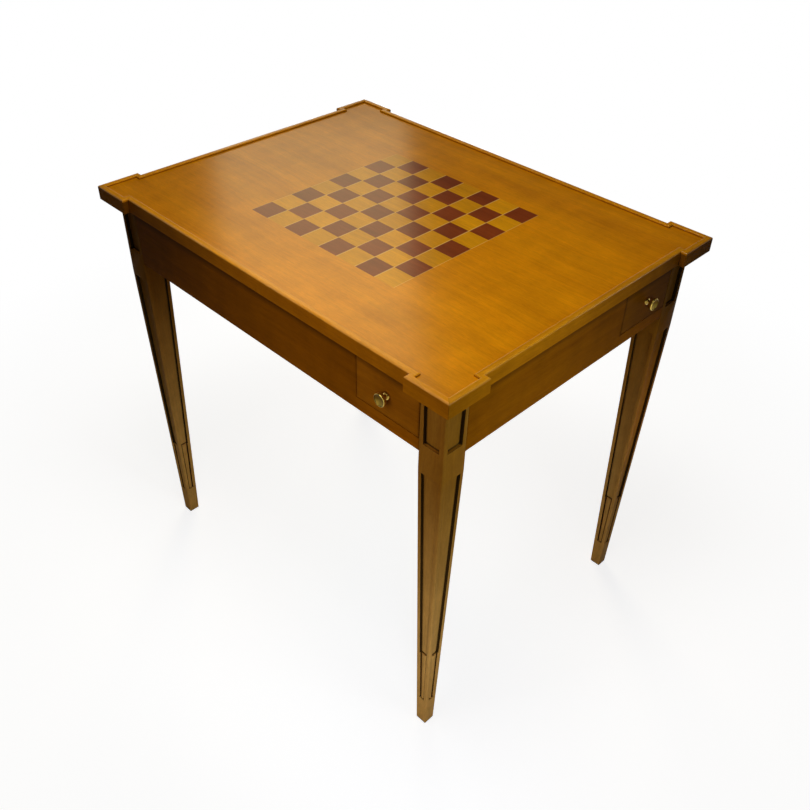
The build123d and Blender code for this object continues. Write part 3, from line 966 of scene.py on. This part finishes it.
class MetalOperator(bpy.types.Operator):
    """Turn the knobs and finish the screws"""
    bl_idname = "games_table.metal"
    bl_label = "Knobs and screws"

    def turn_knob(self, sizes):
        """Draws a knob out of a disc, ring by ring, along its own axis."""
        low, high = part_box("front_drawer_knob")
        rings = knob_profile(sizes, high.y - low.y)
        bpy.ops.object.select_all(action="DESELECT")
        first_radius, first_height = rings[0]
        bpy.ops.mesh.primitive_cylinder_add(vertices=KNOB_SIDES, radius=first_radius,
                                            depth=first_height,
                                            location=(0, 0, first_height / 2))
        knob = bpy.context.object
        knob.name = "turned_front_knob"
        apply_place()
        bpy.ops.object.mode_set(mode="EDIT")
        pick(lambda face: face.normal.z > LEVEL)
        for (radius, height), (wider, higher) in zip(rings, rings[1:]):
            push((0, 0, higher - height))
            share = wider / radius
            bpy.ops.transform.resize(value=(share, share, 1), center_override=(0, 0, 0))
        hollow = sizes.head_radius - sizes.rim_thickness / 5

        def inside(face):
            middle = face.calc_center_median()
            return (face.normal.z > 0.1 and middle.xy.length < hollow
                    and middle.z > sizes.base_thickness * 3)
        # The hollow's faces take the brass painted darker: a painted dark reflection, with
        # painted shade at the top.
        pick(inside)
        paint(1)
        bpy.ops.mesh.select_all(action="SELECT")
        bpy.ops.transform.rotate(value=radians(-90), orient_axis="X",
                                 center_override=(0, 0, 0))
        bpy.ops.transform.translate(value=((low.x + high.x) / 2, high.y, (low.z + high.z) / 2))
        finish_mesh(KNOB_SMOOTH_ANGLE)
        return knob

    def execute(self, context):
        finish = context.scene.games_table_metal
        knob = self.turn_knob(finish)
        knob.data.materials.append(metal("brass", finish.brass, finish.tarnish,
                                         BRASS_ROUGHNESS))
        # The hollow's brass is painted darker as a dark reflection, with painted shade towards
        # the top.
        knob.data.materials.append(metal("hollow_brass", finish.hollow, finish.tarnish,
                                         DULL_ROUGHNESS, finish.shade))
        for number, side in enumerate(SIDES):
            node = side + "_drawer_knob"
            piece = knob
            if number:
                piece = turned_copy(knob, "turned_" + side + "_knob", number,
                                    "front_drawer_knob", node)
            settle(piece, side + "_drawer", "knob_brass", node)
        dress([side + "_drawer_knob_screw" for side in SIDES] + ["button_screws"],
              metal("steel", finish.steel, finish.steel, STEEL_ROUGHNESS))
        return {"FINISHED"}


# Stage

def lamp(name, place, aim, size, power, beam=180, light=(1, 1, 1)):
    """A softbox that faces a point, narrowed to a beam of so many degrees."""
    direction = Vector(aim) - Vector(place)
    turn = direction.to_track_quat("-Z", "Y").to_euler()
    bpy.ops.object.light_add(type="AREA", location=place, rotation=turn)
    softbox = bpy.context.object
    softbox.name = name
    softbox.visible_camera = False
    softbox.data.shape = "RECTANGLE"
    softbox.data.size, softbox.data.size_y = size
    softbox.data.energy = power
    softbox.data.spread = radians(beam)
    softbox.data.color = light


# Between which distances from the table's middle, in metres, the floor begins to send
# less light back to the table, and turns white for the camera
GROUND_FADE = (0.75, 1.1)
WHITE_FADE = (0.5, 1.5)
GROUND_NEAR = 0.8
GROUND_FAR = 0.12
FLOOR_GREY = (0.5, 0.5, 0.5, 1)
FLOOR_RADIUS = 14
FLOOR_SIDES = 96


def ray_kinds(material):
    """Whether a ray comes straight from the camera, off a shine or through glass."""
    path = add(material, "LightPath")
    return [path.outputs["Is %s Ray" % kind] for kind in ("Camera", "Glossy", "Transmission")]


def floor_material(share):
    """A matt white floor that keeps part of its shadows and turns pure white further off."""
    material = bpy.data.materials.new("floor")
    material.use_nodes = True
    material.node_tree.nodes.clear()
    matt = add(material, "BsdfDiffuse", {"Color": FLOOR_GREY})
    fill = add(material, "Emission", {"Strength": share})
    near = add(material, "AddShader", {0: matt.outputs[0], 1: fill.outputs[0]})
    white = add(material, "Emission", {"Strength": 1})
    distance = add(material, "VectorMath", {0: object_place(material)},
                   operation="LENGTH").outputs["Value"]
    ground = add(material, "BsdfDiffuse",
                 {"Color": spread(material, distance, *GROUND_FADE, GROUND_NEAR, GROUND_FAR)})
    away = spread(material, distance, *WHITE_FADE, interpolation_type="SMOOTHSTEP")
    shown = add(material, "MixShader", {0: away, 1: near.outputs[0], 2: white.outputs[0]})
    seen, glossy, clear = ray_kinds(material)
    seen = number_math(material, "ADD", seen, glossy)
    seen = number_math(material, "ADD", seen, clear, use_clamp=True)
    mixed = add(material, "MixShader", {0: seen, 1: ground.outputs[0], 2: shown.outputs[0]})
    add(material, "OutputMaterial", {"Surface": mixed.outputs[0]})
    return material


# The room in reflections: from which slope to which the walls go over to the ceiling
CEILING_SLOPES = (0.16, 0.34)
WALL_LIGHT = 0.8
CEILING_LIGHT = 0.012


def white_world(room_light):
    """White behind the table, even light all round, and a dim ceiling in reflections."""
    world = bpy.data.worlds.new("white_room")
    world.use_nodes = True
    world.node_tree.nodes.clear()
    way = add(world, "TexCoord").outputs["Generated"]
    room = spread(world, split(world, way)["Z"], *CEILING_SLOPES, WALL_LIGHT, CEILING_LIGHT)
    seen, glossy, clear = ray_kinds(world)
    mirrored = number_math(world, "ADD", glossy, clear, use_clamp=True)
    level = add(world, "Mix", {"Factor": mirrored, "A": room_light, "B": room})
    level = add(world, "Mix", {"Factor": seen, "A": level.outputs["Result"], "B": 1})
    background = add(world, "Background", {"Color": (1, 1, 1, 1),
                                           "Strength": level.outputs["Result"]})
    add(world, "OutputWorld", {"Surface": background.outputs[0]})
    return world


class StageOperator(bpy.types.Operator):
    """Set up the camera, the lamps, the floor and the white background"""
    bl_idname = "games_table.stage"
    bl_label = "Stage"

    def execute(self, context):
        stage = context.scene.games_table_stage
        bpy.ops.object.camera_add(location=stage.camera_place, rotation=stage.camera_turn)
        camera = context.object
        camera.name = "camera"
        camera.data.lens = stage.lens
        context.scene.camera = camera
        bpy.ops.mesh.primitive_circle_add(vertices=FLOOR_SIDES, radius=FLOOR_RADIUS,
                                          fill_type="NGON")
        floor = context.object
        floor.name = "floor"
        floor.data.materials.append(floor_material(stage.backdrop_share))
        lamp("overhead_lamp", (0.22, -0.27, 1.85), (0.2, -0.25, 0.7), (0.6, 0.6),
             stage.overhead_power)
        lamp("front_lamp", (0.38, -0.75, 0.85), (0.37, -0.28, 0.62), (0.25, 0.25),
             stage.front_power, 95)
        lamp("high_lamp", (0.05, -0.75, 1.2), (0.05, -0.3, 0.72), (0.3, 0.3),
             stage.high_power, 50)
        lamp("side_lamp", (0.8, -0.13, 0.77), (0.37, -0.14, 0.62), (0.25, 0.25),
             stage.side_power, 92, stage.side_tint)
        lamp("low_lamp", (0.92, -0.81, 0.28), (0.37, -0.28, 0.22), (0.3, 0.3),
             stage.low_power, 60, stage.low_tint)
        lamp("right_lamp", (1.0, 0.1, 0.4), (0.36, 0.26, 0.4), (0.2, 0.2),
             stage.right_power, 36, stage.right_tint)
        lamp("drawer_lamp", (0.78, 0.52, 0.74), (0.56, 0.2, 0.69), (0.15, 0.15),
             stage.drawer_power, 36)
        lamp("back_lamp", (-1.1, 1.1, 0.45), (0, 0, 0.45), (0.8, 0.4),
             stage.back_power, 120)
        lamp("window", (-2.09, 1.565, 2.52), (0, 0, 0.75), (0.97, 1.85),
             stage.window_power, light=stage.window_tint)
        context.scene.world = white_world(stage.room_light)
        context.scene.view_settings.view_transform = "Standard"
        return {"FINISHED"}


class GamesTablePanel(bpy.types.Panel):
    """The table's pieces and their settings"""
    bl_idname = "VIEW3D_PT_games_table"
    bl_label = "Games Table"
    bl_space_type = "VIEW_3D"
    bl_region_type = "UI"
    bl_category = "Games Table"

    def draw(self, context):
        for group, operator in STEPS:
            box = self.layout.box()
            settings = getattr(context.scene, group)
            for name in settings.bl_rna.properties.keys():
                if name not in ("name", "rna_type"):
                    box.prop(settings, name)
            box.operator(operator.bl_idname)


GROUPS = {
    "games_table_top": TopFinish,
    "games_table_frame": FrameFinish,
    "games_table_legs": LegSettings,
    "games_table_metal": MetalSettings,
    "games_table_stage": StageSettings,
}
STEPS = (
    ("games_table_top", TopOperator),
    ("games_table_frame", FrameOperator),
    ("games_table_legs", LegOperator),
    ("games_table_metal", MetalOperator),
    ("games_table_stage", StageOperator),
)


def register():
    for name, group in GROUPS.items():
        bpy.utils.register_class(group)
        setattr(bpy.types.Scene, name, PointerProperty(type=group))
    for name, operator in STEPS:
        bpy.utils.register_class(operator)
    bpy.utils.register_class(GamesTablePanel)


def unregister():
    bpy.utils.unregister_class(GamesTablePanel)
    for name, operator in reversed(STEPS):
        bpy.utils.unregister_class(operator)
    for name, group in reversed(GROUPS.items()):
        delattr(bpy.types.Scene, name)
        bpy.utils.unregister_class(group)


def main():
    """Builds the whole scene."""
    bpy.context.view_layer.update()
    register()
    bpy.ops.games_table.top()
    bpy.ops.games_table.frame()
    bpy.ops.games_table.legs()
    bpy.ops.games_table.metal()
    bpy.ops.games_table.stage()


if __name__ == "__main__":
    main()
